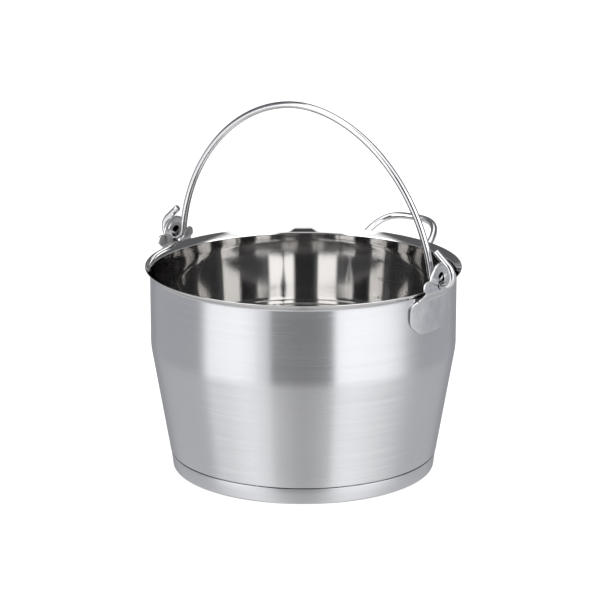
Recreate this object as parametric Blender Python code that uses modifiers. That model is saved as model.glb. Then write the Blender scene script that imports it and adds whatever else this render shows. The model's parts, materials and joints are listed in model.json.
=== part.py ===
"""Stainless steel bail pan: a deep tapered pan with a swinging wire bail and a fixed helper loop.

Frame: metres, +Z up. The origin is the centre of the base's flat underside.
+X runs along the bail's hinge axis, and +Y points to the helper handle.
"""
import math

import bmesh
import bpy
from mathutils import Matrix, Vector

# Clearances and mesh fineness
GAP = 0.0003                 # between pieces that touch on the real pan
TURN_STEPS = 72              # flats round a turned piece
ARC_STEP = math.radians(22.5)
LEAST_ARC_STEPS = 3

# Pan: one drawn sheet, a cylinder above a tapered lower wall
SHEET = 0.0008
RIM_HEIGHT = 0.1909
WALL_RADIUS = 0.1411         # outer face of the straight upper wall
TAPER = 0.170                # radius lost for each unit of height below the bend
BEND_HEIGHT = 0.1170
BEND_FILLET = 0.060
LIP_RADIUS = 0.1457
LIP_FILLET = 0.0030
FLARE_HEIGHT = 0.0052        # the lip is a short cone, opening upwards
STEP_HEIGHT = 0.0166         # the wall steps in here, to fit inside the base cap
STEP_DROP = 0.0009
STEP_FILLET = 0.0008
FLOOR_FILLET = 0.007

# Capsule base: an aluminium disc shut in by a pressed cap
CAP_SHEET = 0.0007
CAP_TOP_RADIUS = 0.1235
CAP_FOOT_RADIUS = 0.1217
CAP_FILLET = 0.0020
SEAM_HEIGHT = 0.0154
CORE_THICKNESS = 0.0057
CORE_RADIUS = 0.1195
CORE_TOP_FILLET = 0.0008
CORE_LOW_FILLET = 0.0020

# Wire of the bail and of the helper handle
WIRE_RADIUS = 0.0032

# Bail: an arch that ends in two hooks. Heights are above the rim.
PIVOT_RISE = 0.0035
BAIL_LEAN = math.radians(2.6)  # at rest the bail leans a little to the front
ARCH_HALF_WIDTH = 0.1402
ARCH_HEIGHT = 0.1529
ARCH_FOOT = -0.0031
ARCH_POWER = 1.91
ARCH_STEPS = 36
LEG_RISE = 0.0132            # the arch hands over to the hooks here
HOOK_CORNERS = (             # distance from the pan's axis, height above the rim, fillet
    (0.1404, 0.0037, 0.0098),
    (0.1614, 0.0031, 0.0090),
    (0.1614, 0.0190, 0.0130),
    (0.1450, 0.0337, 0.0),
)

# Lugs: stamped plates, welded to the wall below and standing clear of it above
LUG_SHEET = 0.0016
LUG_PLANE = 0.1490           # middle of the flat ear, from the pan's axis
LUG_FOLD_LOW = -0.0110       # the plate leaves the wall here, and
LUG_FOLD_HIGH = 0.0005       # is flat and upright from here
LUG_FOLD_SLICES = 5          # lines across the plate where it bends away from the wall
LUG_WRAP_SLICES = 8          # lines down the plate where it wraps round the wall
SLICE_SNAP = 0.0002
FLAT_ANGLE = math.radians(0.5)
LUG_CORNERS = (              # half outline: distance from the middle, height above the rim, fillet
    (0.0, -0.0395, 0.0),
    (0.0205, -0.0395, 0.018),
    (0.0330, -0.0285, 0.013),
    (0.0322, -0.0115, 0.008),
    (0.0225, -0.0085, 0.004),
    (0.0225, 0.0005, 0.003),
    (0.0266, 0.0030, 0.003),
    (0.0250, 0.0110, 0.0045),
    (0.0165, 0.0100, 0.0020),
)
EAR_RADIUS = 0.0170          # the ear's round top
EAR_CENTRE = 0.0078
EAR_START = math.radians(14)
EAR_STEPS = 10
SLOT_RADIUS = 0.0046
SLOT_LOW = 0.0040
SLOT_HIGH = 0.0109
SLOT_STEPS = 8
BEND_PROBE = 0.0001          # how far apart the bent plate is sampled for its slope

# Helper handle: a tilted loop whose two ends run down the wall as flattened paddles
LOOP_HALF_WIDTH = 0.0373
LOOP_LENGTH = 0.0530
LOOP_TILT = math.radians(30.5)
LOOP_FOOT_RADIUS = 0.1380
LOOP_FOOT_RISE = -0.0182
LOOP_POWER = 3.2
LOOP_STEPS = 11              # from one side to the middle
LOOP_START = math.radians(4.0)
PADDLE_END_RISE = -0.0400
PADDLE_FILLET = 0.0060
PADDLE_SHEET = 0.0024
PADDLE_SPREAD = 1.7
PADDLE_TOP_RISE = -0.0210
PADDLE_BLEND = 0.0070
PADDLE_STEPS = 4

STEEL = (0.62, 0.62, 0.63)
BRIGHT_STEEL = (0.72, 0.72, 0.73)
ALUMINIUM = (0.78, 0.79, 0.80)


def clear_scene():
    """Remove every object that the scene starts with."""
    for item in list(bpy.data.objects):
        bpy.data.objects.remove(item, do_unlink=True)


def make_metal(name, colour, roughness):
    """A bare metal surface."""
    material = bpy.data.materials.new(name)
    material.use_nodes = True
    shader = material.node_tree.nodes["Principled BSDF"]
    shader.inputs["Base Color"].default_value = (*colour, 1.0)
    shader.inputs["Metallic"].default_value = 1.0
    shader.inputs["Roughness"].default_value = roughness
    material.diffuse_color = (*colour, 1.0)
    return material


def rounded_path(corners):
    """Points along a path whose corners, given with a fillet radius each, are rounded off."""
    points = []
    for index, (corner, fillet) in enumerate(corners):
        if fillet == 0.0 or index in (0, len(corners) - 1):
            points.append(corner.copy())
            continue
        inward = (corners[index - 1][0] - corner).normalized()
        outward = (corners[index + 1][0] - corner).normalized()
        turn = math.pi - inward.angle(outward)
        tangent = fillet * math.tan(turn / 2)
        centre = corner + (inward + outward).normalized() * math.hypot(fillet, tangent)
        start = corner + inward * tangent - centre
        axis = start.cross(corner + outward * tangent - centre).normalized()
        steps = max(LEAST_ARC_STEPS, math.ceil(turn / ARC_STEP))
        for step in range(steps + 1):
            points.append(centre + Matrix.Rotation(turn * step / steps, 3, axis) @ start)
    return points


def upright_corners(rows):
    """Corners in the XZ plane from rows of radius, height and fillet."""
    return [(Vector((radius, 0.0, height)), fillet) for radius, height, fillet in rows]


def offset_path(points, distance):
    """A copy of an XZ path moved sideways, to the left of its direction."""
    moved = []
    for index, point in enumerate(points):
        before = point - points[max(index - 1, 0)]
        after = points[min(index + 1, len(points) - 1)] - point
        if before.length == 0.0:
            before = after
        if after.length == 0.0:
            after = before
        left_before = Vector((-before.z, 0.0, before.x)).normalized()
        left_after = Vector((-after.z, 0.0, after.x)).normalized()
        mitre = (left_before + left_after).normalized()
        moved.append(point + mitre * (distance / mitre.dot(left_before)))
    return moved


def sheet_profile(corners, thickness):
    """A sheet's section: its inner face from the axis outwards, then its outer face back."""
    middle = rounded_path(upright_corners(corners))
    inner = offset_path(middle, thickness / 2)
    outer = offset_path(middle, -thickness / 2)
    return inner + outer[::-1]


def place(item, parent, collection, material):
    """Put an object in its collection, under its parent, with its material."""
    collection.objects.link(item)
    item.parent = parent
    item.data.materials.append(material)
    return item


def make_turned(name, profile):
    """A solid of revolution about Z."""
    mesh = bpy.data.meshes.new(name)
    edges = [(index, index + 1) for index in range(len(profile) - 1)]
    mesh.from_pydata(profile, edges, [])
    item = bpy.data.objects.new(name, mesh)
    screw = item.modifiers.new("Turn", "SCREW")
    screw.axis = "Z"
    screw.angle = math.tau
    screw.steps = TURN_STEPS
    screw.render_steps = TURN_STEPS
    screw.use_smooth_shade = True
    screw.use_merge_vertices = True
    screw.merge_threshold = 0.00001
    return item


def make_wire(name, points):
    """A round wire along a list of points."""
    curve = bpy.data.curves.new(name, "CURVE")
    curve.dimensions = "3D"
    curve.bevel_depth = WIRE_RADIUS
    curve.bevel_resolution = 2
    curve.use_fill_caps = True
    spline = curve.splines.new("POLY")
    spline.points.add(len(points) - 1)
    for knot, point in zip(spline.points, points):
        knot.co = (*point, 1.0)
    spline.use_smooth = True
    return bpy.data.objects.new(name, curve)


def mesh_from(item):
    """A mesh copy of an evaluated curve object, with its loose caps welded; the curve is removed."""
    bpy.context.scene.collection.objects.link(item)
    evaluated = item.evaluated_get(bpy.context.evaluated_depsgraph_get())
    mesh = bpy.data.meshes.new_from_object(evaluated)
    shape = bmesh.new()
    shape.from_mesh(mesh)
    bmesh.ops.remove_doubles(shape, verts=shape.verts, dist=0.00001)
    shape.to_mesh(mesh)
    shape.free()
    name = item.name
    curve = item.data
    bpy.data.objects.remove(item, do_unlink=True)
    bpy.data.curves.remove(curve)
    mesh.name = name
    return bpy.data.objects.new(name, mesh)


def smooth_step(value):
    """A smooth rise from 0 to 1 while the value goes from 0 to 1."""
    value = min(max(value, 0.0), 1.0)
    return value * value * (3 - 2 * value)


def taper_radius(height):
    """Middle of the sheet on the tapered wall."""
    return WALL_RADIUS - SHEET / 2 - TAPER * (BEND_HEIGHT - height)


def make_pan_body():
    """The drawn pan: floor, tapered lower wall, straight upper wall and flared pouring lip."""
    floor = CAP_SHEET + GAP + CORE_THICKNESS + GAP + SHEET / 2
    neck = (CAP_TOP_RADIUS + CAP_FOOT_RADIUS) / 2 - CAP_SHEET - GAP - SHEET / 2
    wall = WALL_RADIUS - SHEET / 2
    slope = math.atan2(FLARE_HEIGHT, LIP_RADIUS - WALL_RADIUS)
    lip = LIP_RADIUS - SHEET / 2 * math.sin(slope)
    top = RIM_HEIGHT - SHEET / 2 * math.cos(slope)
    corners = (
        (0.0, floor, 0.0),
        (neck, floor, FLOOR_FILLET),
        (neck, STEP_HEIGHT - STEP_DROP, STEP_FILLET),
        (taper_radius(STEP_HEIGHT), STEP_HEIGHT, STEP_FILLET),
        (taper_radius(BEND_HEIGHT), BEND_HEIGHT, BEND_FILLET),
        (wall, top - FLARE_HEIGHT, LIP_FILLET),
        (lip, top, 0.0),
    )
    return make_turned("pan_body", sheet_profile(corners, SHEET))


def make_base_cap():
    """The pressed outer cap of the capsule base."""
    middle = CAP_SHEET / 2
    corners = (
        (0.0, middle, 0.0),
        (CAP_FOOT_RADIUS - middle, middle, CAP_FILLET),
        (CAP_TOP_RADIUS - middle, SEAM_HEIGHT - GAP, 0.0),
    )
    return make_turned("base_cap", sheet_profile(corners, CAP_SHEET))


def make_base_core():
    """The heat-spreading disc between the cap and the pan's floor."""
    bottom = CAP_SHEET + GAP
    top = bottom + CORE_THICKNESS
    corners = (
        (0.0, top, 0.0),
        (CORE_RADIUS, top, CORE_TOP_FILLET),
        (CORE_RADIUS, bottom, CORE_LOW_FILLET),
        (0.0, bottom, 0.0),
    )
    return make_turned("base_core", rounded_path(upright_corners(corners)))


def flat_arc(centre_height, radius, start, end, steps):
    """Points of an arc in the XY plane, centred on the Y axis."""
    points = []
    for step in range(steps + 1):
        angle = start + (end - start) * step / steps
        points.append(Vector((radius * math.cos(angle), centre_height + radius * math.sin(angle), 0.0)))
    return points


def lug_outline():
    """The plate's closed outline, flat, with X across it and Y as height above the rim."""
    crown = flat_arc(EAR_CENTRE, EAR_RADIUS, EAR_START, math.pi / 2, EAR_STEPS)
    corners = [(Vector((across, rise, 0.0)), fillet) for across, rise, fillet in LUG_CORNERS]
    half = rounded_path(corners + [(crown[0], 0.0)]) + crown[1:]
    mirrored = [Vector((-point.x, point.y, 0.0)) for point in half[1:-1]]
    return half + mirrored[::-1]


def slot_outline():
    """The upright slot that the bail hooks through."""
    top = flat_arc(SLOT_HIGH, SLOT_RADIUS, 0.0, math.pi, SLOT_STEPS)
    bottom = flat_arc(SLOT_LOW, SLOT_RADIUS, math.pi, math.tau, SLOT_STEPS)
    return top + bottom


def make_flat_plate(name, outlines, thickness):
    """A flat plate with its middle in the XY plane, filled between closed outlines."""
    curve = bpy.data.curves.new(name, "CURVE")
    curve.dimensions = "2D"
    curve.fill_mode = "BOTH"
    curve.extrude = thickness / 2
    for outline in outlines:
        spline = curve.splines.new("POLY")
        spline.points.add(len(outline) - 1)
        for knot, point in zip(spline.points, outline):
            knot.co = (*point, 1.0)
        spline.use_cyclic_u = True
    return mesh_from(bpy.data.objects.new(name, curve))


def slice_plate(shape, axis, low, high, count):
    """Cut a plate's faces along evenly spaced lines, so that it can bend there."""
    for step in range(count + 1):
        cut = axis * (low + (high - low) * step / count)
        geometry = shape.verts[:] + shape.edges[:] + shape.faces[:]
        bmesh.ops.bisect_plane(shape, geom=geometry, plane_co=cut, plane_no=axis, dist=SLICE_SNAP)


def lug_surface(across, rise):
    """Middle of the bent plate: its foot follows the wall and its ear stands clear of it."""
    foot_radius = WALL_RADIUS + GAP + LUG_SHEET / 2
    angle = across / foot_radius
    foot = Vector((foot_radius * math.cos(angle), foot_radius * math.sin(angle), 0.0))
    ear = Vector((LUG_PLANE, across, 0.0))
    share = smooth_step((rise - LUG_FOLD_LOW) / (LUG_FOLD_HIGH - LUG_FOLD_LOW))
    return foot.lerp(ear, share) + Vector((0.0, 0.0, RIM_HEIGHT + rise))


def bend_lug_point(point):
    """Where a point of the flat plate lies on the bent plate, its depth kept square to the sheet."""
    across = lug_surface(point.x + BEND_PROBE, point.y) - lug_surface(point.x - BEND_PROBE, point.y)
    upward = lug_surface(point.x, point.y + BEND_PROBE) - lug_surface(point.x, point.y - BEND_PROBE)
    return lug_surface(point.x, point.y) + across.cross(upward).normalized() * point.z


def make_lug(name):
    """One ear plate at +X."""
    item = make_flat_plate(name, (lug_outline(), slot_outline()), LUG_SHEET)
    half_width = max(corner[0] for corner in LUG_CORNERS)
    shape = bmesh.new()
    shape.from_mesh(item.data)
    bmesh.ops.dissolve_limit(shape, angle_limit=FLAT_ANGLE, verts=shape.verts, edges=shape.edges)
    slice_plate(shape, Vector((0.0, 1.0, 0.0)), LUG_FOLD_LOW, LUG_FOLD_HIGH, LUG_FOLD_SLICES)
    slice_plate(shape, Vector((1.0, 0.0, 0.0)), -half_width, half_width, LUG_WRAP_SLICES)
    bmesh.ops.triangulate(shape, faces=shape.faces)
    for vertex in shape.verts:
        vertex.co = bend_lug_point(vertex.co)
    shape.to_mesh(item.data)
    shape.free()
    return item


def arch_points():
    """The bail's arch from its left leg to its right leg, relative to the rim."""
    foot = math.asin(((LEG_RISE - ARCH_FOOT) / ARCH_HEIGHT) ** (ARCH_POWER / 2))
    points = []
    for step in range(ARCH_STEPS + 1):
        angle = math.pi - foot - (math.pi - 2 * foot) * step / ARCH_STEPS
        across = math.copysign(abs(math.cos(angle)) ** (2 / ARCH_POWER), math.cos(angle))
        rise = math.sin(angle) ** (2 / ARCH_POWER)
        points.append(Vector((ARCH_HALF_WIDTH * across, 0.0, ARCH_FOOT + ARCH_HEIGHT * rise)))
    return points


def make_bail():
    """The swinging wire, placed with its origin on its hinge axis."""
    arch = arch_points()
    hook = rounded_path([(arch[-1], 0.0)] + upright_corners(HOOK_CORNERS))[1:]
    other_hook = [Vector((-point.x, 0.0, point.z)) for point in hook]
    path = other_hook[::-1] + arch + hook
    pivot = Vector((0.0, 0.0, PIVOT_RISE))
    item = make_wire("bail_handle", [point - pivot for point in path])
    item.location = (0.0, 0.0, RIM_HEIGHT + PIVOT_RISE)
    item.rotation_euler.x = BAIL_LEAN
    return item


def loop_point(angle):
    """A point of the helper loop's middle line; a right angle is the middle of the loop."""
    across = LOOP_HALF_WIDTH * math.cos(angle) ** (2 / LOOP_POWER)
    along = LOOP_LENGTH * math.sin(angle) ** (2 / LOOP_POWER)
    out = LOOP_FOOT_RADIUS + along * math.cos(LOOP_TILT)
    rise = LOOP_FOOT_RISE + along * math.sin(LOOP_TILT)
    return Vector((across, out, RIM_HEIGHT + rise))


def paddle_point(side, rise):
    """Middle of the wire where it runs down the wall, this far to one side."""
    radius = WALL_RADIUS + GAP + WIRE_RADIUS
    return Vector((side, math.sqrt(radius ** 2 - side ** 2), RIM_HEIGHT + rise))


def helper_path():
    """Middle line of the helper wire, from one paddle's end round the loop to the other's."""
    step_angle = (math.pi / 2 - LOOP_START) / LOOP_STEPS
    loop = [(loop_point(LOOP_START + step_angle * step), 0.0) for step in range(LOOP_STEPS)]
    middle = loop_point(math.pi / 2)
    side = loop[0][0].x
    turn = paddle_point(side, LOOP_FOOT_RISE)
    turn.z += (turn.y - LOOP_FOOT_RADIUS) * math.tan(LOOP_TILT)
    paddle_top = paddle_point(side, turn.z - RIM_HEIGHT - PADDLE_FILLET)
    paddle_end = paddle_point(side, PADDLE_END_RISE)
    paddle = []
    for step in range(PADDLE_STEPS + 1):
        paddle.append((paddle_end.lerp(paddle_top, step / PADDLE_STEPS), 0.0))
    half = rounded_path(paddle + [(turn, PADDLE_FILLET)] + loop)
    mirrored = [Vector((-point.x, point.y, point.z)) for point in half]
    return half + [Vector((0.0, middle.y, middle.z))] + mirrored[::-1]


def flatten_paddles(mesh):
    """Press the wire's two ends flat against the wall, spreading them sideways."""
    face = WALL_RADIUS + GAP
    leg_angle = math.asin(LOOP_HALF_WIDTH / (face + WIRE_RADIUS))
    for vertex in mesh.vertices:
        share = smooth_step((RIM_HEIGHT + PADDLE_TOP_RISE - vertex.co.z) / PADDLE_BLEND)
        radius = math.hypot(vertex.co.x, vertex.co.y)
        thinner = 1 + share * (PADDLE_SHEET / (2 * WIRE_RADIUS) - 1)
        wider = 1 + share * (PADDLE_SPREAD - 1)
        radius = face + (radius - face) * thinner
        middle = math.copysign(leg_angle, vertex.co.x)
        angle = middle + (math.atan2(vertex.co.x, vertex.co.y) - middle) * wider
        vertex.co.x = radius * math.sin(angle)
        vertex.co.y = radius * math.cos(angle)


def make_helper():
    """The fixed loop at +Y that helps to tip the pan."""
    item = mesh_from(make_wire("helper_handle", helper_path()))
    flatten_paddles(item.data)
    return item


def main():
    """Build the pan's seven pieces under one origin."""
    clear_scene()
    collection = bpy.data.collections.new("bail_pan")
    bpy.context.scene.collection.children.link(collection)
    origin = bpy.data.objects.new("pan_origin", None)
    collection.objects.link(origin)
    brushed = make_metal("brushed_steel", STEEL, 0.28)
    base_steel = make_metal("base_steel", STEEL, 0.32)
    core_metal = make_metal("aluminium", ALUMINIUM, 0.45)
    plate_steel = make_metal("plate_steel", STEEL, 0.35)
    bail_steel = make_metal("bail_steel", BRIGHT_STEEL, 0.10)
    helper_steel = make_metal("helper_steel", BRIGHT_STEEL, 0.12)
    place(make_pan_body(), origin, collection, brushed)
    place(make_base_cap(), origin, collection, base_steel)
    place(make_base_core(), origin, collection, core_metal)
    place(make_lug("lug_right"), origin, collection, plate_steel)
    left = place(make_lug("lug_left"), origin, collection, plate_steel)
    left.rotation_euler.z = math.pi
    place(make_bail(), origin, collection, bail_steel)
    place(make_helper(), origin, collection, helper_steel)


main()
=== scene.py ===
"""Looks for a stainless steel bail pan: a brushed and polished pan, a swinging wire bail, a helper loop.

Everything is in metres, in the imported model's frame: +Z up, the base's underside at Z = 0, the bail's
hinge along X and the helper handle at +Y.
"""

import json
import math

import bmesh
import bpy
from mathutils import Matrix, Vector


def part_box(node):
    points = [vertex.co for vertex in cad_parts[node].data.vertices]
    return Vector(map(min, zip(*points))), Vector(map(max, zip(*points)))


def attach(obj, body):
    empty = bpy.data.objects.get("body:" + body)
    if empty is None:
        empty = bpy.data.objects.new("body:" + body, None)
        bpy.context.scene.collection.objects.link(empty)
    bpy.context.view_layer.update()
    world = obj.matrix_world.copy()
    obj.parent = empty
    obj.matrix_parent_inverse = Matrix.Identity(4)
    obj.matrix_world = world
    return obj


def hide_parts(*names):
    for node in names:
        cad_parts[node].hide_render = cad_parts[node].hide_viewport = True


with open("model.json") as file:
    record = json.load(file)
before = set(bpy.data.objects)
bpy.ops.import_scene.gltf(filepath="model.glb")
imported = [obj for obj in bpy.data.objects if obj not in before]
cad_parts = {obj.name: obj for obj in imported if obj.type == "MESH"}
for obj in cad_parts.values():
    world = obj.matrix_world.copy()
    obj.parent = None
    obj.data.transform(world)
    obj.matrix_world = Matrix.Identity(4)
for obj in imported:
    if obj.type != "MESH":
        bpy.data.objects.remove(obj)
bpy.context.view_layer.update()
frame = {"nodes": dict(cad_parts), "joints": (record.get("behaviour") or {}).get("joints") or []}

# Sizes read from the frame
LIP_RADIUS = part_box("pan_body")[1].x
RIM_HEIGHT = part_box("pan_body")[1].z
CAP_TOP_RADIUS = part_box("base_cap")[1].x
CAP_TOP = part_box("base_cap")[1].z
HINGE = Vector(frame["joints"][0]["pos_m"])
HINGE_AXIS = Vector(frame["joints"][0]["axis"])

# Pan: one drawn sheet, a cylinder above a tapered lower wall
SHEET = 0.0008
WALL_RADIUS = 0.1411         # outer face of the straight upper wall
TAPER = 0.170                # radius lost for each unit of height below the bend
BEND_HEIGHT = 0.1170
BEND_FILLET = 0.060
LIP_FILLET = 0.0030
FLARE_HEIGHT = 0.0052        # the lip is a short cone, opening upwards
STEP_HEIGHT = 0.0166         # the wall steps in here, to fit inside the base cap
STEP_DROP = 0.0009
STEP_FILLET = 0.0008
FLOOR_HEIGHT = 0.0074        # middle of the sheet
FLOOR_FILLET = 0.007
POLISH_BELOW_RIM = 0.0052    # the outer face is polished, not brushed, above this line

# Base cap
CAP_SHEET = 0.0007
CAP_FOOT_RADIUS = 0.1217
CAP_FILLET = 0.0020
NECK_GAP = 0.0003            # between the cap and the wall that steps into it

# Wire of the bail and of the helper handle
WIRE_RADIUS = 0.0032
WIRE_SIDES = 28
END_CHAMFER = 0.0005
WIRE_SHARP = math.radians(50)
PATH_STEP = 0.0016

# Bail: an arch that ends in two hooks. Heights are above the rim.
BAIL_LEAN = math.radians(2.6)
ARCH_HALF_WIDTH = 0.1402
ARCH_HEIGHT = 0.1529
ARCH_FOOT = -0.0031
ARCH_POWER = 1.91
ARCH_STEPS = 180
LEG_RISE = 0.0132
HOOK_CORNERS = (
    (0.1404, 0.0037, 0.0098),
    (0.1614, 0.0031, 0.0090),
    (0.1614, 0.0190, 0.0130),
    (0.1450, 0.0337, 0.0),
)

# Lugs: stamped plates, welded to the wall below and standing clear of it above
LUG_SHEET = 0.0016
LUG_EDGE = 0.00035
LUG_PITCH = 0.0007
LUG_PLANE = 0.1490
LUG_FOLD_LOW = -0.0110
LUG_FOLD_HIGH = 0.0005
LUG_CLEARANCE = 0.0003
LUG_CORNERS = (
    (0.0, -0.0395, 0.0),
    (0.0205, -0.0395, 0.018),
    (0.0330, -0.0285, 0.013),
    (0.0322, -0.0115, 0.008),
    (0.0225, -0.0085, 0.004),
    (0.0225, 0.0005, 0.003),
    (0.0266, 0.0030, 0.003),
    (0.0250, 0.0110, 0.0045),
    (0.0165, 0.0100, 0.0020),
)
EAR_RADIUS = 0.0170
EAR_CENTRE = 0.0078
EAR_START = math.radians(14)
EAR_STEPS = 40
SLOT_RADIUS = 0.0046
SLOT_LOW = 0.0040
SLOT_HIGH = 0.0109
SLOT_STEPS = 24
BOSS_TIP = 0.0032            # the raised crown's lower edge is a shallow V with its point here
BOSS_SLOPE = 0.48
BOSS_RAISE = 0.0011
BOSS_EDGE = 0.0010
DISH_INSET = 0.0040          # inside the crown's rim the face is pressed back in
DISH_DEPTH = 0.0006
DISH_EDGE = 0.0009
SPOTS = ((0.0175, -0.0180), (0.0238, -0.0183), (0.0262, -0.0262), (0.0188, -0.0310))
SPOT_RADIUS = 0.0013
SPOT_DEPTH = 0.00022
PROBE = 0.0001               # half the stretch over which the bent plate's slope is measured
PLATE_MERGE = 0.000005
PLATE_FLAT = math.radians(0.5)
SLICE_SNAP = 0.12            # share of the pitch within which a cut uses the points already there
FACE_COSINE = 0.99           # a face is cut edge where its normal's Z is less than this

# Helper handle: a tilted loop whose two ends run down the wall as flattened paddles
LOOP_HALF_WIDTH = 0.0373
LOOP_LENGTH = 0.0530
LOOP_TILT = math.radians(30.5)
LOOP_FOOT_RADIUS = 0.1380
LOOP_FOOT_RISE = -0.0182
LOOP_POWER = 3.2
LOOP_STEPS = 60
LOOP_START = math.radians(4.0)
PADDLE_END_RISE = -0.0400
PADDLE_FILLET = 0.0060
PADDLE_SHEET = 0.0024
PADDLE_SPREAD = 1.7
PADDLE_TOP_RISE = -0.0210
PADDLE_BLEND = 0.0070
PADDLE_STEPS = 24
PADDLE_GAP = 0.0003          # between the wire and the wall that it runs down
PADDLE_SPOTS = (-0.0275, -0.0350)
PADDLE_SPOT_DEPTH = SPOT_DEPTH * 2
PADDLE_SPOT_RADIUS = SPOT_RADIUS * 1.6

# Measuring marks under the helper handle, all at the radius of the straight upper wall's inner face.
# The wall tapers in below its bend and the marks don't, so the ones below the bend stand outside it.
MARK_LITRES = (3, 4, 5, 6, 7, 8)
TOP_MARK = 0.1630            # height of the highest litre mark
LITRE_RISE = 0.0182
MARK_LINE_AT = 0.0050        # the upright line, from the middle of the handle
LITRE_TICK_LEFT = 0.0062     # lengths of the ticks, from that line
LITRE_TICK_RIGHT = 0.0042
HALF_TICK = 0.0038
LEFT_FIGURE = 0.0072         # where the figures end, to the left and right of it
RIGHT_FIGURE = 0.0098
MARK_SIZE = 0.0046
MARK_THICK = 0.00008
MARK_WIDTH = 0.00045
BAR_STEP = 0.002
MARK_MERGE = 0.000005

# Camera: the same angle, distance and framing as the product view
CAMERA_AZIMUTH = math.radians(35.5)
CAMERA_ELEVATION = math.radians(15.35)
CAMERA_DISTANCE = 2.5
CAMERA_LENS = 162.43
CAMERA_SENSOR = 36.0
CAMERA_SIDE = -0.00313
CAMERA_HEIGHT = 0.1567

# How finely shapes are cut
FINE_ARC = math.radians(6.0)
TURN_STEPS = 288
TURN_MERGE = 0.00001
SECTION_STEP = 0.012

# Materials and light
NOISE = (0.3, 0.7)           # the range that nearly all of a Noise texture's values lie in
MARK_COLOUR = (0.035, 0.035, 0.038)
ALUMINIUM = (0.78, 0.79, 0.80)
PAPER = (0.42, 0.42, 0.425)
PAPER_GLOW = 0.72
FLOOR_HALF_SIZE = 20.0
FLOOR_DROP = 0.0002
OVERHEAD_SPREAD = math.radians(80.0)
OVERHEAD_STRENGTH = 1.2


# ---------------------------------------------------------------- shapes

def rounded_path(corners, arc_step=FINE_ARC):
    """Points along a path whose corners, given with a fillet radius each, are rounded off."""
    points = []
    for index, (corner, fillet) in enumerate(corners):
        if fillet == 0.0 or index in (0, len(corners) - 1):
            points.append(corner.copy())
            continue
        inward = (corners[index - 1][0] - corner).normalized()
        outward = (corners[index + 1][0] - corner).normalized()
        turn = math.pi - inward.angle(outward)
        tangent = fillet * math.tan(turn / 2)
        centre = corner + (inward + outward).normalized() * math.hypot(fillet, tangent)
        start = corner + inward * tangent - centre
        axis = start.cross(corner + outward * tangent - centre).normalized()
        steps = max(4, math.ceil(turn / arc_step))
        for step in range(steps + 1):
            points.append(centre + Matrix.Rotation(turn * step / steps, 3, axis) @ start)
    return points


def upright(rows):
    """Corners in the XZ plane from rows of radius, height and fillet."""
    return [(Vector((radius, 0.0, height)), fillet) for radius, height, fillet in rows]


def offset_path(points, distance):
    """A copy of an XZ path moved sideways, to the left of its direction."""
    moved = []
    for index, point in enumerate(points):
        before = point - points[max(index - 1, 0)]
        after = points[min(index + 1, len(points) - 1)] - point
        if before.length == 0.0:
            before = after
        if after.length == 0.0:
            after = before
        left_before = Vector((-before.z, 0.0, before.x)).normalized()
        left_after = Vector((-after.z, 0.0, after.x)).normalized()
        mitre = (left_before + left_after).normalized()
        moved.append(point + mitre * (distance / mitre.dot(left_before)))
    return moved


def sheet_section(corners, thickness, edge_steps=8):
    """A sheet's section from the axis out along one face, round its edge and back along the other."""
    middle = rounded_path(upright(corners))
    half = thickness / 2
    middle[-1] = middle[-1] - (middle[-1] - middle[-2]).normalized() * half
    inner = offset_path(middle, half)
    outer = offset_path(middle, -half)
    end = middle[-1]
    spoke = inner[-1] - end
    turn = Matrix.Rotation(math.pi / edge_steps, 3, "Y")
    edge = []
    for _ in range(edge_steps - 1):
        spoke = turn @ spoke
        edge.append(end + spoke)
    return inner + edge + outer[::-1]


def densify(points, longest):
    """The same path with extra points, so that no stretch is longer than this."""
    dense = [points[0]]
    for start, end in zip(points, points[1:]):
        steps = max(1, math.ceil((end - start).length / longest))
        dense += [start.lerp(end, step / steps) for step in range(1, steps + 1)]
    return dense


def smooth_step(value):
    """A smooth rise from 0 to 1 while the value goes from 0 to 1."""
    value = min(max(value, 0.0), 1.0)
    return value * value * (3 - 2 * value)


def add_piece(name, mesh, body, node, materials):
    """Make a mesh a piece of the object: it rides a body and stands for a CAD node."""
    for material in materials:
        mesh.materials.append(material)
    item = bpy.data.objects.new(name, mesh)
    bpy.context.scene.collection.objects.link(item)
    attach(item, body)
    if node:
        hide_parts(node)
    return item


def turned_mesh(name, section, pick_material):
    """A solid of revolution about Z; pick_material gives each face's material from its place and normal."""
    shape = bmesh.new()
    verts = [shape.verts.new(point) for point in section]
    edges = [shape.edges.new(pair) for pair in zip(verts, verts[1:])]
    bmesh.ops.spin(
        shape, geom=verts + edges, cent=(0.0, 0.0, 0.0), axis=(0.0, 0.0, 1.0),
        angle=math.tau, steps=TURN_STEPS, use_merge=True,
    )
    bmesh.ops.remove_doubles(shape, verts=shape.verts, dist=TURN_MERGE)
    bmesh.ops.recalc_face_normals(shape, faces=shape.faces)
    for face in shape.faces:
        face.smooth = True
        face.material_index = pick_material(face.calc_center_median(), face.normal)
    mesh = bpy.data.meshes.new(name)
    shape.to_mesh(mesh)
    shape.free()
    return mesh


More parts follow.
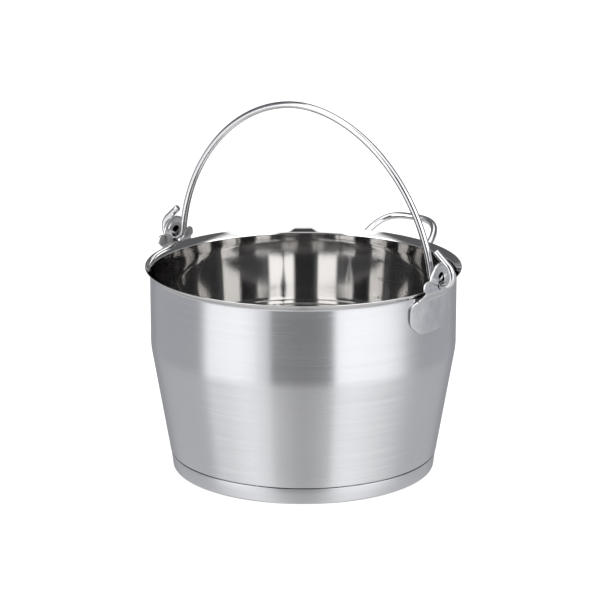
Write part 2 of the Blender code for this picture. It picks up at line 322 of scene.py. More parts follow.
def sweep_mesh(name, path, radius, sides, chamfer):
    """A round wire along a path, with chamfered ends and UVs in metres: round the wire and along it."""
    tangents = []
    for index in range(len(path)):
        before = path[max(index - 1, 0)]
        after = path[min(index + 1, len(path) - 1)]
        tangents.append((after - before).normalized())
    stations = [(path[0], tangents[0], radius - chamfer)]
    stations.append((path[0] + tangents[0] * chamfer, tangents[0], radius))
    stations += [(path[i], tangents[i], radius) for i in range(1, len(path) - 1)]
    stations.append((path[-1] - tangents[-1] * chamfer, tangents[-1], radius))
    stations.append((path[-1], tangents[-1], radius - chamfer))
    shape = bmesh.new()
    layer = shape.loops.layers.uv.new("wire")
    across = stations[0][1].orthogonal().normalized()
    rings = []
    distances = []
    travelled = 0.0
    last = stations[0][0]
    for centre, tangent, size in stations:
        across = (across - tangent * across.dot(tangent)).normalized()
        travelled += (centre - last).length
        last = centre
        ring = []
        for side in range(sides):
            spoke = Matrix.Rotation(math.tau * side / sides, 3, tangent) @ across
            ring.append(shape.verts.new(centre + spoke * size))
        rings.append(ring)
        distances.append(travelled)
    for index in range(len(rings) - 1):
        for side in range(sides):
            turn = (side + 1) % sides
            face = shape.faces.new((rings[index][side], rings[index][turn],
                                    rings[index + 1][turn], rings[index + 1][side]))
            face.smooth = True
            places = ((side, index), (side + 1, index), (side + 1, index + 1), (side, index + 1))
            for loop, (around, along) in zip(face.loops, places):
                loop[layer].uv = (math.tau * radius * around / sides, distances[along])
    shape.faces.new(rings[0][::-1])
    shape.faces.new(rings[-1])
    bmesh.ops.recalc_face_normals(shape, faces=shape.faces)
    mesh = bpy.data.meshes.new(name)
    shape.to_mesh(mesh)
    shape.free()
    mesh.set_sharp_from_angle(angle=WIRE_SHARP)
    return mesh


# ---------------------------------------------------------------- materials

def new_material(name):
    """A material with only a Principled shader, and its node tree."""
    material = bpy.data.materials.new(name)
    material.use_nodes = True
    return material, material.node_tree, material.node_tree.nodes["Principled BSDF"]


def add_node(tree, kind, **settings):
    """A node with its properties set; a setting whose value is a dict sets input sockets by name."""
    node = tree.nodes.new(kind)
    inputs = settings.pop("inputs", {})
    for key, value in settings.items():
        setattr(node, key, value)
    for key, value in inputs.items():
        if isinstance(value, bpy.types.NodeSocket):
            tree.links.new(value, node.inputs[key])
        else:
            node.inputs[key].default_value = value
    return node


def maths(tree, operation, *values):
    """The output of a Math node; each value is a number or another node's output."""
    return add_node(tree, "ShaderNodeMath", operation=operation, inputs=dict(enumerate(values))).outputs[0]


def map_range(tree, value, low, high, to_low, to_high):
    """A value's range stretched onto another range."""
    inputs = {"Value": value, "From Min": low, "From Max": high, "To Min": to_low, "To Max": to_high}
    return add_node(tree, "ShaderNodeMapRange", inputs=inputs).outputs[0]


def noise(tree, vector, scale=1.0, detail=3.0, roughness=0.5):
    """The output of a Noise texture."""
    inputs = {"Vector": vector, "Scale": scale, "Detail": detail, "Roughness": roughness}
    return add_node(tree, "ShaderNodeTexNoise", inputs=inputs).outputs[0]


def stretched(tree, vector, scale):
    """Coordinates scaled by a different amount on each axis."""
    return add_node(tree, "ShaderNodeMapping", inputs={"Vector": vector, "Scale": scale}).outputs[0]


def object_coordinates(tree):
    """Object coordinates, in metres."""
    return add_node(tree, "ShaderNodeTexCoord").outputs["Object"]


def lathe_coordinates(tree, fine, slow):
    """Coordinates for grain that runs round the Z axis, on walls and on flat discs alike."""
    place = add_node(tree, "ShaderNodeSeparateXYZ", inputs={0: object_coordinates(tree)})
    x, y, z = place.outputs
    square = maths(tree, "ADD", maths(tree, "MULTIPLY", x, x), maths(tree, "MULTIPLY", y, y))
    radius = maths(tree, "SQRT", square)
    first = maths(tree, "ADD", maths(tree, "MULTIPLY", radius, fine), maths(tree, "MULTIPLY", x, slow))
    inputs = {"X": first, "Y": maths(tree, "MULTIPLY", y, slow), "Z": maths(tree, "MULTIPLY", z, fine)}
    return add_node(tree, "ShaderNodeCombineXYZ", inputs=inputs).outputs[0]


def tinted(tree, shader, colour, value, amount):
    """Base colour that darkens and lightens a little with a noise."""
    ramp = add_node(tree, "ShaderNodeMix", data_type="RGBA")
    ramp.inputs["A"].default_value = (*(channel * (1 - amount) for channel in colour), 1.0)
    ramp.inputs["B"].default_value = (*(min(1.0, channel * (1 + amount)) for channel in colour), 1.0)
    tree.links.new(map_range(tree, value, *NOISE, 0.0, 1.0), ramp.inputs["Factor"])
    tree.links.new(ramp.outputs["Result"], shader.inputs["Base Color"])


def add_bump(tree, shader, height, distance, strength):
    """Small relief on the surface."""
    inputs = {"Height": height, "Distance": distance, "Strength": strength}
    bump = add_node(tree, "ShaderNodeBump", inputs=inputs)
    tree.links.new(bump.outputs["Normal"], shader.inputs["Normal"])


def turned_steel(name, colour, roughness, spread, grain, relief, anisotropy):
    """Steel with a finish that runs round the Z axis: brushed when rough, polished when smooth."""
    material, tree, shader = new_material(name)
    shader.inputs["Metallic"].default_value = 1.0
    shader.inputs["Anisotropic"].default_value = anisotropy
    shader.inputs["Anisotropic Rotation"].default_value = 0.25
    tangent = add_node(tree, "ShaderNodeTangent", direction_type="RADIAL", axis="Z")
    tree.links.new(tangent.outputs[0], shader.inputs["Tangent"])
    fine = noise(tree, lathe_coordinates(tree, grain, 9.0), detail=4.0, roughness=0.62)
    broad = noise(tree, lathe_coordinates(tree, grain / 9, 4.0), detail=2.0)
    smudge = noise(tree, object_coordinates(tree), scale=17.0, detail=2.0)
    streaks = maths(tree, "ADD", maths(tree, "MULTIPLY", fine, 0.65), maths(tree, "MULTIPLY", broad, 0.35))
    rough = map_range(tree, streaks, *NOISE, roughness - spread, roughness + spread)
    rough = maths(tree, "ADD", rough, map_range(tree, smudge, *NOISE, -spread * 0.4, spread * 0.4))
    tree.links.new(rough, shader.inputs["Roughness"])
    tinted(tree, shader, colour, streaks, 0.035)
    add_bump(tree, shader, streaks, 0.0004, relief)
    return material


def polished_wire(name, colour):
    """Drawn and polished wire: faint lines along it and a few fine nicks."""
    material, tree, shader = new_material(name)
    shader.inputs["Metallic"].default_value = 1.0
    place = add_node(tree, "ShaderNodeUVMap", uv_map="wire").outputs[0]
    lines = noise(tree, stretched(tree, place, (1500.0, 14.0, 1.0)), detail=3.0)
    nicks = noise(tree, object_coordinates(tree), scale=420.0, detail=2.0)
    nick_mask = map_range(tree, nicks, 0.66, 0.74, 0.0, 1.0)
    smudge = noise(tree, object_coordinates(tree), scale=35.0, detail=2.0)
    rough = map_range(tree, lines, *NOISE, 0.07, 0.13)
    rough = maths(tree, "ADD", rough, maths(tree, "MULTIPLY", nick_mask, 0.12))
    rough = maths(tree, "ADD", rough, map_range(tree, smudge, 0.45, 0.7, 0.0, 0.05))
    tree.links.new(rough, shader.inputs["Roughness"])
    tinted(tree, shader, colour, smudge, 0.03)
    cuts = maths(tree, "MULTIPLY", nick_mask, 0.6)
    height = maths(tree, "SUBTRACT", maths(tree, "MULTIPLY", lines, 0.4), cuts)
    add_bump(tree, shader, height, 0.0002, 0.05)
    return material


def satin_plate(name, colour, roughness):
    """Stamped and tumbled steel: an even satin with a fine pebble and scattered pits."""
    material, tree, shader = new_material(name)
    shader.inputs["Metallic"].default_value = 1.0
    pebble = noise(tree, object_coordinates(tree), scale=900.0, detail=4.0, roughness=0.6)
    clouds = noise(tree, object_coordinates(tree), scale=90.0, detail=3.0)
    spots = noise(tree, object_coordinates(tree), scale=650.0, detail=1.0)
    pits = map_range(tree, spots, 0.28, 0.34, 1.0, 0.0)
    rough = map_range(tree, clouds, *NOISE, roughness - 0.05, roughness + 0.06)
    rough = maths(tree, "ADD", rough, maths(tree, "MULTIPLY", pits, 0.1))
    tree.links.new(rough, shader.inputs["Roughness"])
    tinted(tree, shader, colour, clouds, 0.06)
    height = maths(tree, "SUBTRACT", pebble, maths(tree, "MULTIPLY", pits, 0.5))
    add_bump(tree, shader, height, 0.0003, 0.12)
    return material


def etched_mark(name):
    """The dark etched lines and figures of the measuring scale."""
    material, tree, shader = new_material(name)
    shader.inputs["Metallic"].default_value = 0.6
    grain = noise(tree, object_coordinates(tree), scale=1500.0, detail=2.0)
    tree.links.new(map_range(tree, grain, *NOISE, 0.45, 0.7), shader.inputs["Roughness"])
    tinted(tree, shader, MARK_COLOUR, grain, 0.3)
    return material


def cast_aluminium(name):
    """The heat-spreading disc, shut inside the base."""
    material, tree, shader = new_material(name)
    shader.inputs["Metallic"].default_value = 1.0
    grain = noise(tree, object_coordinates(tree), scale=300.0, detail=4.0)
    tree.links.new(map_range(tree, grain, *NOISE, 0.38, 0.55), shader.inputs["Roughness"])
    tinted(tree, shader, ALUMINIUM, grain, 0.05)
    add_bump(tree, shader, grain, 0.0005, 0.2)
    return material


# ---------------------------------------------------------------- the pan

def taper_radius(height):
    """Middle of the sheet on the tapered wall."""
    return WALL_RADIUS - SHEET / 2 - TAPER * (BEND_HEIGHT - height)


def build_pan(outside, inside):
    """The drawn pan, brushed outside and polished inside and on its flared lip."""
    neck = (CAP_TOP_RADIUS + CAP_FOOT_RADIUS) / 2 - CAP_SHEET - NECK_GAP - SHEET / 2
    wall = WALL_RADIUS - SHEET / 2
    slope = math.atan2(FLARE_HEIGHT, LIP_RADIUS - WALL_RADIUS)
    lip = LIP_RADIUS - SHEET / 2 * (1 - math.cos(slope))
    top = RIM_HEIGHT - SHEET / 2 * (1 - math.sin(slope))
    section = sheet_section((
        (0.0, FLOOR_HEIGHT, 0.0),
        (neck, FLOOR_HEIGHT, FLOOR_FILLET),
        (neck, STEP_HEIGHT - STEP_DROP, STEP_FILLET),
        (taper_radius(STEP_HEIGHT), STEP_HEIGHT, STEP_FILLET),
        (taper_radius(BEND_HEIGHT), BEND_HEIGHT, BEND_FILLET),
        (wall, top - FLARE_HEIGHT, LIP_FILLET),
        (lip, top, 0.0),
    ), SHEET)
    section[0].x = 0.0
    section[-1].x = 0.0

    def finish(place, normal):
        outward = normal.x * place.x + normal.y * place.y > 0.0
        return 0 if outward and place.z < RIM_HEIGHT - POLISH_BELOW_RIM else 1

    mesh = turned_mesh("pan_shell", densify(section, SECTION_STEP), finish)
    return add_piece("pan_shell", mesh, "pan", "pan_body", [outside, inside])


def build_base(side):
    """The pressed cap of the capsule base."""
    middle = CAP_SHEET / 2
    section = sheet_section((
        (0.0, middle, 0.0),
        (CAP_FOOT_RADIUS - middle, middle, CAP_FILLET),
        (CAP_TOP_RADIUS - middle, CAP_TOP, 0.0),
    ), CAP_SHEET)
    mesh = turned_mesh("base_shell", densify(section, SECTION_STEP), lambda place, normal: 0)
    return add_piece("base_shell", mesh, "pan", "base_cap", [side])


# ---------------------------------------------------------------- lugs

def flat_arc(centre_height, radius, start, end, steps):
    """Points of an arc in the XY plane, centred on the Y axis."""
    points = []
    for step in range(steps + 1):
        angle = start + (end - start) * step / steps
        points.append(Vector((radius * math.cos(angle), centre_height + radius * math.sin(angle), 0.0)))
    return points


def lug_outlines():
    """The plate's outline and its slot, flat, with X across the plate and Y as height above the rim."""
    crown = flat_arc(EAR_CENTRE, EAR_RADIUS, EAR_START, math.pi / 2, EAR_STEPS)
    corners = [(Vector((across, rise, 0.0)), fillet) for across, rise, fillet in LUG_CORNERS]
    half = rounded_path(corners + [(crown[0], 0.0)]) + crown[1:]
    mirrored = [Vector((-point.x, point.y, 0.0)) for point in half[1:-1]]
    slot = flat_arc(SLOT_HIGH, SLOT_RADIUS, 0.0, math.pi, SLOT_STEPS)
    slot += flat_arc(SLOT_LOW, SLOT_RADIUS, math.pi, math.tau, SLOT_STEPS)
    return half + mirrored[::-1], slot


def lug_surface(across, rise):
    """Middle of the bent plate: its foot follows the wall and its ear stands clear of it."""
    foot_radius = WALL_RADIUS + LUG_CLEARANCE + LUG_SHEET / 2
    angle = across / foot_radius
    foot = Vector((foot_radius * math.cos(angle), foot_radius * math.sin(angle), 0.0))
    ear = Vector((LUG_PLANE, across, 0.0))
    share = smooth_step((rise - LUG_FOLD_LOW) / (LUG_FOLD_HIGH - LUG_FOLD_LOW))
    return foot.lerp(ear, share) + Vector((0.0, 0.0, RIM_HEIGHT + rise))


def crown_distance(across, rise):
    """How far inside the raised crown a point lies: a circle above and a shallow V below."""
    round_part = EAR_RADIUS - math.hypot(across, rise - EAR_CENTRE)
    lower_part = (rise - BOSS_TIP - BOSS_SLOPE * abs(across)) / math.hypot(1.0, BOSS_SLOPE)
    return min(round_part, lower_part)


def lug_relief(across, rise):
    """Height of the stamped relief: a raised crown with a dished middle, and spot-weld dimples."""
    inside = crown_distance(across, rise)
    height = BOSS_RAISE * smooth_step(inside / BOSS_EDGE + 0.5)
    height -= DISH_DEPTH * smooth_step((inside - DISH_INSET) / DISH_EDGE)
    for spot_across, spot_rise in SPOTS:
        away = math.hypot(abs(across) - spot_across, rise - spot_rise) / SPOT_RADIUS
        height -= SPOT_DEPTH * (1 - smooth_step(away))
    return height


def lug_point(point):
    """Where a point of the flat plate lies on the finished plate."""
    across = lug_surface(point.x + PROBE, point.y) - lug_surface(point.x - PROBE, point.y)
    upward = lug_surface(point.x, point.y + PROBE) - lug_surface(point.x, point.y - PROBE)
    depth = point.z + lug_relief(point.x, point.y)
    return lug_surface(point.x, point.y) + across.cross(upward).normalized() * depth


def flat_plate(outlines, thickness, edge):
    """A flat plate with rounded edges, as a bmesh."""
    curve = bpy.data.curves.new("plate", "CURVE")
    curve.dimensions = "2D"
    curve.fill_mode = "BOTH"
    curve.extrude = thickness / 2 - edge
    curve.bevel_depth = edge
    curve.bevel_resolution = 3
    curve.offset = -edge
    for outline in outlines:
        spline = curve.splines.new("POLY")
        spline.points.add(len(outline) - 1)
        for knot, point in zip(spline.points, outline):
            knot.co = (*point, 1.0)
        spline.use_cyclic_u = True
    item = bpy.data.objects.new("plate", curve)
    bpy.context.scene.collection.objects.link(item)
    evaluated = item.evaluated_get(bpy.context.evaluated_depsgraph_get())
    mesh = bpy.data.meshes.new_from_object(evaluated)
    shape = bmesh.new()
    shape.from_mesh(mesh)
    bpy.data.objects.remove(item, do_unlink=True)
    bpy.data.curves.remove(curve)
    bpy.data.meshes.remove(mesh)
    bmesh.ops.remove_doubles(shape, verts=shape.verts, dist=PLATE_MERGE)
    bmesh.ops.dissolve_limit(shape, angle_limit=PLATE_FLAT, verts=shape.verts, edges=shape.edges)
    return shape


def slice_plate(shape, axis, low, high, pitch):
    """Cut a plate along evenly spaced lines, so that it can bend there."""
    count = math.ceil((high - low) / pitch)
    for step in range(1, count):
        cut = axis * (low + (high - low) * step / count)
        geometry = shape.verts[:] + shape.edges[:] + shape.faces[:]
        bmesh.ops.bisect_plane(shape, geom=geometry, plane_co=cut, plane_no=axis, dist=pitch * SLICE_SNAP)


def build_lug(name, turn, face_steel, edge_steel):
    """One ear plate, its faces satin and its cut edges bright."""
    outline, slot = lug_outlines()
    shape = flat_plate((outline, slot), LUG_SHEET, LUG_EDGE)
    reach = max(point.x for point in outline)
    low = min(point.y for point in outline)
    high = max(point.y for point in outline)
    slice_plate(shape, Vector((0.0, 1.0, 0.0)), low, high, LUG_PITCH)
    slice_plate(shape, Vector((1.0, 0.0, 0.0)), -reach, reach, LUG_PITCH)
    bmesh.ops.triangulate(shape, faces=shape.faces)
    for face in shape.faces:
        face.smooth = True
        face.material_index = 0 if abs(face.normal.z) > FACE_COSINE else 1
    for vertex in shape.verts:
        vertex.co = Matrix.Rotation(turn, 3, "Z") @ lug_point(vertex.co)
    mesh = bpy.data.meshes.new(name + "_plate")
    shape.to_mesh(mesh)
    shape.free()
    return add_piece(name + "_plate", mesh, "pan", name, [face_steel, edge_steel])


# ---------------------------------------------------------------- wires

def arch_points():
    """The bail's arch from its left leg to its right leg, relative to the rim."""
    foot = math.asin(((LEG_RISE - ARCH_FOOT) / ARCH_HEIGHT) ** (ARCH_POWER / 2))
    points = []
    for step in range(ARCH_STEPS + 1):
        angle = math.pi - foot - (math.pi - 2 * foot) * step / ARCH_STEPS
        across = math.copysign(abs(math.cos(angle)) ** (2 / ARCH_POWER), math.cos(angle))
        rise = math.sin(angle) ** (2 / ARCH_POWER)
        points.append(Vector((ARCH_HALF_WIDTH * across, 0.0, ARCH_FOOT + ARCH_HEIGHT * rise)))
    return points


def build_bail(steel):
    """The swinging wire: an arch and the two hooks that turn in the lugs."""
    arch = arch_points()
    hook = rounded_path([(arch[-1], 0.0)] + upright(HOOK_CORNERS))[1:]
    other_hook = [Vector((-point.x, 0.0, point.z)) for point in hook]
    path = densify(other_hook[::-1] + arch + hook, PATH_STEP)
    lean = Matrix.Rotation(BAIL_LEAN, 3, HINGE_AXIS)
    above_hinge = Vector((0.0, 0.0, RIM_HEIGHT)) - HINGE
    path = [HINGE + lean @ (point + above_hinge) for point in path]
    mesh = sweep_mesh("bail_wire", path, WIRE_RADIUS, WIRE_SIDES, END_CHAMFER)
    return add_piece("bail_wire", mesh, "bail", "bail_handle", [steel])


def loop_point(angle):
    """A point of the helper loop's middle line; a right angle is the middle of the loop."""
    across = LOOP_HALF_WIDTH * math.cos(angle) ** (2 / LOOP_POWER)
    along = LOOP_LENGTH * math.sin(angle) ** (2 / LOOP_POWER)
    out = LOOP_FOOT_RADIUS + along * math.cos(LOOP_TILT)
    rise = LOOP_FOOT_RISE + along * math.sin(LOOP_TILT)
    return Vector((across, out, RIM_HEIGHT + rise))


def paddle_point(side, rise):
    """Middle of the wire where it runs down the wall, this far to one side."""
    radius = WALL_RADIUS + PADDLE_GAP + WIRE_RADIUS
    return Vector((side, math.sqrt(radius ** 2 - side ** 2), RIM_HEIGHT + rise))


def helper_path():
    """Middle line of the helper wire, from one paddle's end round the loop to the other's."""
    step_angle = (math.pi / 2 - LOOP_START) / LOOP_STEPS
    loop = [(loop_point(LOOP_START + step_angle * step), 0.0) for step in range(LOOP_STEPS)]
    middle = loop_point(math.pi / 2)
    side = loop[0][0].x
    turn = paddle_point(side, LOOP_FOOT_RISE)
    turn.z += (turn.y - LOOP_FOOT_RADIUS) * math.tan(LOOP_TILT)
    paddle_top = paddle_point(side, turn.z - RIM_HEIGHT - PADDLE_FILLET)
    paddle_end = paddle_point(side, PADDLE_END_RISE)
    paddle = []
    for step in range(PADDLE_STEPS + 1):
        paddle.append((paddle_end.lerp(paddle_top, step / PADDLE_STEPS), 0.0))
    half = rounded_path(paddle + [(turn, PADDLE_FILLET)] + loop)
    mirrored = [Vector((-point.x, point.y, point.z)) for point in half]
    return half + [Vector((0.0, middle.y, middle.z))] + mirrored[::-1]


def flatten_paddles(mesh):
    """Press the wire's two ends flat against the wall and dimple them where they are welded."""
    face = WALL_RADIUS + PADDLE_GAP
    leg_angle = math.asin(LOOP_HALF_WIDTH / (face + WIRE_RADIUS))
    for vertex in mesh.vertices:
        share = smooth_step((RIM_HEIGHT + PADDLE_TOP_RISE - vertex.co.z) / PADDLE_BLEND)
        radius = math.hypot(vertex.co.x, vertex.co.y)
        thinner = 1 + share * (PADDLE_SHEET / (2 * WIRE_RADIUS) - 1)
        wider = 1 + share * (PADDLE_SPREAD - 1)
        radius = face + (radius - face) * thinner
        middle = math.copysign(leg_angle, vertex.co.x)
        angle = middle + (math.atan2(vertex.co.x, vertex.co.y) - middle) * wider
        if radius > face + PADDLE_SHEET / 2:
            for rise in PADDLE_SPOTS:
                away = math.hypot((angle - middle) * radius, vertex.co.z - RIM_HEIGHT - rise)
                radius -= share * PADDLE_SPOT_DEPTH * (1 - smooth_step(away / PADDLE_SPOT_RADIUS))
        vertex.co.x = radius * math.sin(angle)
        vertex.co.y = radius * math.cos(angle)


def build_helper(steel):
    """The fixed loop at +Y that helps to tip the pan."""
    path = densify(helper_path(), PATH_STEP)
    mesh = sweep_mesh("helper_wire", path, WIRE_RADIUS, WIRE_SIDES, END_CHAMFER)
    flatten_paddles(mesh)
    return add_piece("helper_wire", mesh, "pan", "helper_handle", [steel])


# ---------------------------------------------------------------- measuring marks

def wrap_inside(shape):
    """Bend flat marks, X across and Y up, round the radius of the upper wall's inner face, at +Y."""
    wall = WALL_RADIUS - SHEET
    for vertex in shape.verts:
        radius = wall - MARK_THICK - vertex.co.z
        angle = vertex.co.x / wall
        vertex.co = Vector((radius * math.sin(angle), radius * math.cos(angle), vertex.co.y))


def add_bar(shape, left, right, low, high):
    """A flat bar of the scale, cut across so that it can bend with the wall."""
    pieces = max(1, math.ceil((right - left) / BAR_STEP))
    for piece in range(pieces):
        start = left + (right - left) * piece / pieces
        width = (right - left) / pieces
        bar = bmesh.ops.create_cube(shape, size=1.0)["verts"]
        for vertex in bar:
            vertex.co.x = start + width * (vertex.co.x + 0.5)
            vertex.co.y = low + (high - low) * (vertex.co.y + 0.5)
            vertex.co.z *= MARK_THICK


def add_figure(shape, words, right, middle):
    """A figure of the scale, from the built-in font, ending at right."""
    text = bpy.data.curves.new("figure", "FONT")
    text.body = words
    text.size = MARK_SIZE
    text.align_x = "RIGHT"
    text.align_y = "CENTER"
    text.extrude = MARK_THICK / 2
    text.resolution_u = 3
    item = bpy.data.objects.new("figure", text)
    bpy.context.scene.collection.objects.link(item)
    evaluated = item.evaluated_get(bpy.context.evaluated_depsgraph_get())
    mesh = bpy.data.meshes.new_from_object(evaluated)
    mesh.transform(Matrix.Translation((right, middle, 0.0)))
    shape.from_mesh(mesh)
    bpy.data.objects.remove(item, do_unlink=True)
    bpy.data.curves.remove(text)
    bpy.data.meshes.remove(mesh)


def build_marks(mark):
    """The measuring scale: an upright line, ticks and figures."""
    shape = bmesh.new()
    bottom = TOP_MARK - LITRE_RISE * (MARK_LITRES[-1] - MARK_LITRES[0])
    half = MARK_WIDTH / 2
    half_litre = LITRE_RISE / 2
    add_bar(shape, MARK_LINE_AT - half, MARK_LINE_AT + half, bottom - half_litre, TOP_MARK + half_litre)
    for litre in MARK_LITRES:
        height = TOP_MARK - LITRE_RISE * (MARK_LITRES[-1] - litre)
        between = height + half_litre
        add_bar(shape, MARK_LINE_AT - LITRE_TICK_LEFT, MARK_LINE_AT, height - half, height + half)
        add_bar(shape, MARK_LINE_AT, MARK_LINE_AT + LITRE_TICK_RIGHT, height - half, height + half)
        add_bar(shape, MARK_LINE_AT - HALF_TICK, MARK_LINE_AT, between - half, between + half)
        add_figure(shape, f"{litre}.0 L", MARK_LINE_AT - LEFT_FIGURE, height)
        add_figure(shape, f"{litre * 2}", MARK_LINE_AT + RIGHT_FIGURE, height)
    wrap_inside(shape)
    bmesh.ops.remove_doubles(shape, verts=shape.verts, dist=MARK_MERGE)
    mesh = bpy.data.meshes.new("scale_marks")
    shape.to_mesh(mesh)
    shape.free()
    return add_piece("scale_marks", mesh, "pan", None, [mark])


# ---------------------------------------------------------------- camera, light and floor

def camera_directions():
    """Unit vectors from the object towards the camera, to the picture's right and to its top."""
    level = math.cos(CAMERA_ELEVATION)
    back = Vector((math.sin(CAMERA_AZIMUTH) * level, -math.cos(CAMERA_AZIMUTH) * level,
                   math.sin(CAMERA_ELEVATION)))
    right = Vector((math.cos(CAMERA_AZIMUTH), math.sin(CAMERA_AZIMUTH), 0.0))
    return back, right, back.cross(right)


def build_camera():
    """The camera, at the product view's angle."""
    back, right, up = camera_directions()
    camera = bpy.data.cameras.new("camera")
    camera.lens = CAMERA_LENS
    camera.sensor_width = CAMERA_SENSOR
    item = bpy.data.objects.new("camera", camera)
    place = right * CAMERA_SIDE + Vector((0.0, 0.0, CAMERA_HEIGHT)) + back * CAMERA_DISTANCE
    axes = Matrix((right, up, back)).transposed().to_4x4()
    item.matrix_world = Matrix.Translation(place) @ axes
    bpy.context.scene.collection.objects.link(item)
    bpy.context.scene.camera = item


# Soft boxes of the studio, in degrees: azimuth of the middle from the camera's side (right is positive),
# reach to the left and how soft that end is, reach to the right and how soft; middle elevation, reach up
# and down and how soft; brightness. The object's upper wall looks at the middle ones, its tapered lower
# wall at the low ones, its polished inside and wires at the high ones and its lip at the top one.
SOFT_BOXES = (
    ("zenith", 0.0, 190.0, 1.0, 190.0, 1.0, 90.0, 11.0, 5.0, 1.4),
    ("top", 180.0, 161.0, 3.0, 161.0, 3.0, 69.5, 9.5, 4.0, 1.4),
    ("bank", 0.0, 95.0, 20.0, 95.0, 20.0, 49.0, 12.0, 6.0, 1.1),
    ("high_left", -54.0, 23.0, 10.0, 20.0, 6.0, 22.0, 16.0, 4.0, 2.9),
    ("high_right", 50.0, 28.0, 10.0, 30.0, 8.0, 22.0, 16.0, 4.0, 3.1),
    ("middle_left", -54.0, 26.0, 14.0, 14.0, 26.0, -10.0, 16.0, 8.0, 0.38),
    ("middle_left_edge", -54.0, 25.0, 10.0, 30.0, 3.0, -10.0, 16.0, 8.0, 0.46),
    ("middle_right", 51.0, 28.0, 5.0, 29.0, 44.0, -10.0, 16.0, 8.0, 0.82),
    ("low_left", -41.0, 20.0, 36.0, 20.0, 40.0, -58.0, 32.0, 10.0, 0.42),
    ("low_right", 43.0, 20.0, 40.0, 20.0, 40.0, -58.0, 32.0, 10.0, 0.40),
)
# The rest of the studio: its colour above eye level, at eye level and on the floor, and the elevations
# where one gives way to the next
HIGH_GLOW = (0.26, 0.265, 0.28)
LEVEL_GLOW = (0.49, 0.50, 0.53)
FLOOR_GLOW = (0.70, 0.70, 0.705)
LEVEL_TOP = 7.0
LEVEL_SOFTNESS = 6.0
FLOOR_TOP = -24.0
FLOOR_SOFTNESS = 12.0
# Bands of azimuth in shade, laid out like those above, and how much of the glow is left in them: on the
# camera's side, except on the floor; behind the object up to eye level; and behind it above that
FRONT_SHADE = (-1.5, 24.0, 6.0, 24.0, 6.0)
FRONT_KEPT = 0.27
BACK_SHADE = (180.0, 33.0, 10.0, 33.0, 10.0)
BACK_KEPT = 0.75
HIGH_BACK_SHADE = (180.0, 82.0, 16.0, 82.0, 16.0)
HIGH_BACK_KEPT = 0.55


def eased(tree, value, start, end):
    """A smooth rise from 0 to 1 between two angles, or a fall where the end comes before the start."""
    inputs = {"Value": value, "From Min": start, "From Max": end}
    return add_node(tree, "ShaderNodeMapRange", interpolation_type="SMOOTHSTEP", inputs=inputs).outputs[0]


def studio_band(tree, value, middle, left, left_softness, right, right_softness):
    """1 inside a band of angles and 0 outside it, with soft ends; angles in degrees."""
    away = maths(tree, "SUBTRACT", value, middle)
    turns = maths(tree, "ROUND", maths(tree, "DIVIDE", away, 360.0))
    away = maths(tree, "SUBTRACT", away, maths(tree, "MULTIPLY", turns, 360.0))
    rise = eased(tree, away, -left - left_softness / 2, -left + left_softness / 2)
    fall = eased(tree, away, right + right_softness / 2, right - right_softness / 2)
    return maths(tree, "MULTIPLY", rise, fall)


def blended(tree, value, middle, softness, below, above):
    """One colour below an angle and another above it."""
    mix = add_node(tree, "ShaderNodeMix", data_type="RGBA")
    share = map_range(tree, value, middle - softness / 2, middle + softness / 2, 0.0, 1.0)
    tree.links.new(share, mix.inputs["Factor"])
    tree.links.new(below, mix.inputs["A"])
    tree.links.new(above, mix.inputs["B"])
    return mix.outputs["Result"]


def scaled(tree, colour, *shares):
    """A colour multiplied by the outputs of other nodes."""
    for share in shares:
        colour = add_node(tree, "ShaderNodeVectorMath", operation="SCALE",
                          inputs={0: colour, "Scale": share}).outputs[0]
    return colour


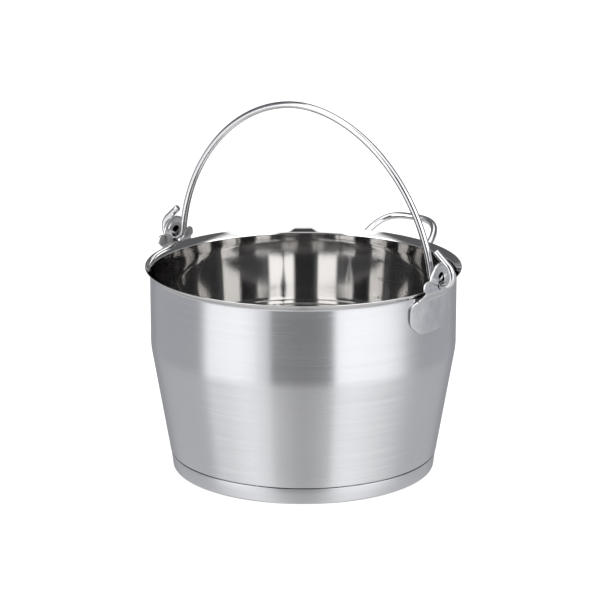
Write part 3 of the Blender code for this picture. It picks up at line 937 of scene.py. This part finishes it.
def build_studio():
    """A plain studio: soft boxes either side of the camera, pale all round, shaded in front and behind."""
    world = bpy.data.worlds.new("studio")
    bpy.context.scene.world = world
    world.use_nodes = True
    tree = world.node_tree
    tree.nodes.clear()
    direction = add_node(tree, "ShaderNodeTexCoord").outputs["Generated"]
    turned = add_node(tree, "ShaderNodeVectorRotate", rotation_type="Z_AXIS",
                      inputs={"Vector": direction, "Angle": -CAMERA_AZIMUTH}).outputs[0]
    x, y, z = add_node(tree, "ShaderNodeSeparateXYZ", inputs={0: turned}).outputs
    azimuth = maths(tree, "DEGREES", maths(tree, "ARCTAN2", x, maths(tree, "MULTIPLY", y, -1.0)))
    elevation = maths(tree, "DEGREES", maths(tree, "ARCSINE", z))
    front = map_range(tree, studio_band(tree, azimuth, *FRONT_SHADE), 0.0, 1.0, 1.0, FRONT_KEPT)
    back = map_range(tree, studio_band(tree, azimuth, *BACK_SHADE), 0.0, 1.0, 1.0, BACK_KEPT)
    high_back = map_range(tree, studio_band(tree, azimuth, *HIGH_BACK_SHADE), 0.0, 1.0, 1.0, HIGH_BACK_KEPT)
    high = scaled(tree, HIGH_GLOW, front, high_back)
    level = scaled(tree, LEVEL_GLOW, front, back)
    floor = scaled(tree, FLOOR_GLOW, back)
    glow = blended(tree, elevation, LEVEL_TOP, LEVEL_SOFTNESS, level, high)
    glow = blended(tree, elevation, FLOOR_TOP, FLOOR_SOFTNESS, floor, glow)
    boxes = 0.0
    for _, side, left, left_softness, right, right_softness, middle, reach, softness, strength in SOFT_BOXES:
        band = studio_band(tree, azimuth, side, left, left_softness, right, right_softness)
        tall = studio_band(tree, elevation, middle, reach, softness, reach, softness)
        box = maths(tree, "MULTIPLY", maths(tree, "MULTIPLY", band, tall), strength)
        boxes = maths(tree, "ADD", box, boxes)
    white = add_node(tree, "ShaderNodeCombineXYZ", inputs={"X": boxes, "Y": boxes, "Z": boxes}).outputs[0]
    light = add_node(tree, "ShaderNodeVectorMath", operation="ADD", inputs={0: glow, 1: white}).outputs[0]
    reflected = add_node(tree, "ShaderNodeBackground", inputs={"Color": light})
    seen = add_node(tree, "ShaderNodeBackground", inputs={"Color": (1.0, 1.0, 1.0, 1.0)})
    mix = add_node(tree, "ShaderNodeMixShader")
    output = add_node(tree, "ShaderNodeOutputWorld")
    tree.links.new(add_node(tree, "ShaderNodeLightPath").outputs["Is Camera Ray"], mix.inputs[0])
    tree.links.new(reflected.outputs[0], mix.inputs[1])
    tree.links.new(seen.outputs[0], mix.inputs[2])
    tree.links.new(mix.outputs[0], output.inputs["Surface"])


def build_overhead():
    """A broad overhead light for the floor, kept out of the steel's reflections."""
    light = bpy.data.lights.new("overhead", "SUN")
    light.angle = OVERHEAD_SPREAD
    light.energy = OVERHEAD_STRENGTH
    item = bpy.data.objects.new("overhead", light)
    item.visible_glossy = False
    bpy.context.scene.collection.objects.link(item)


def build_floor():
    """A plain pale floor."""
    material, tree, shader = new_material("floor_paper")
    grain = noise(tree, object_coordinates(tree), scale=25.0, detail=3.0)
    shader.inputs["Roughness"].default_value = 0.9
    shader.inputs["Specular IOR Level"].default_value = 0.0
    shader.inputs["Emission Color"].default_value = (1.0, 1.0, 1.0, 1.0)
    shader.inputs["Emission Strength"].default_value = PAPER_GLOW
    tinted(tree, shader, PAPER, grain, 0.005)
    shape = bmesh.new()
    bmesh.ops.create_grid(shape, x_segments=1, y_segments=1, size=FLOOR_HALF_SIZE)
    mesh = bpy.data.meshes.new("floor")
    shape.to_mesh(mesh)
    shape.free()
    mesh.materials.append(material)
    item = bpy.data.objects.new("floor", mesh)
    item.location = (0.0, 0.0, -FLOOR_DROP)
    item.visible_glossy = False
    bpy.context.scene.collection.objects.link(item)


# ---------------------------------------------------------------- the whole scene

MIRROR_BOUNCES = 16          # light crosses the polished inside many times
STEEL = (0.63, 0.635, 0.65)
INSIDE_STEEL = (0.65, 0.643, 0.635)
BRIGHT_STEEL = (0.72, 0.72, 0.73)

build_camera()
build_studio()
build_overhead()
build_floor()
bpy.context.scene.view_settings.view_transform = "Standard"
bpy.context.scene.cycles.glossy_bounces = MIRROR_BOUNCES
bpy.context.scene.cycles.max_bounces = MIRROR_BOUNCES + 4

outer_steel = turned_steel("brushed_outside", STEEL, 0.25, 0.03, 2600.0, 0.02, 0.95)
inner_steel = turned_steel("polished_inside", INSIDE_STEEL, 0.045, 0.015, 1500.0, 0.01, 0.4)
base_steel = turned_steel("brushed_base", STEEL, 0.32, 0.04, 1700.0, 0.05, 0.5)
plate_steel = satin_plate("satin_plate", STEEL, 0.34)
edge_steel = satin_plate("cut_edge", BRIGHT_STEEL, 0.16)
wire_steel = polished_wire("polished_wire", BRIGHT_STEEL)

build_pan(outer_steel, inner_steel)
build_base(base_steel)
build_lug("lug_right", 0.0, plate_steel, edge_steel)
build_lug("lug_left", math.pi, plate_steel, edge_steel)
build_bail(wire_steel)
build_helper(wire_steel)
build_marks(etched_mark("etched_mark"))
frame["nodes"]["base_core"].material_slots[0].material = cast_aluminium("core_aluminium")
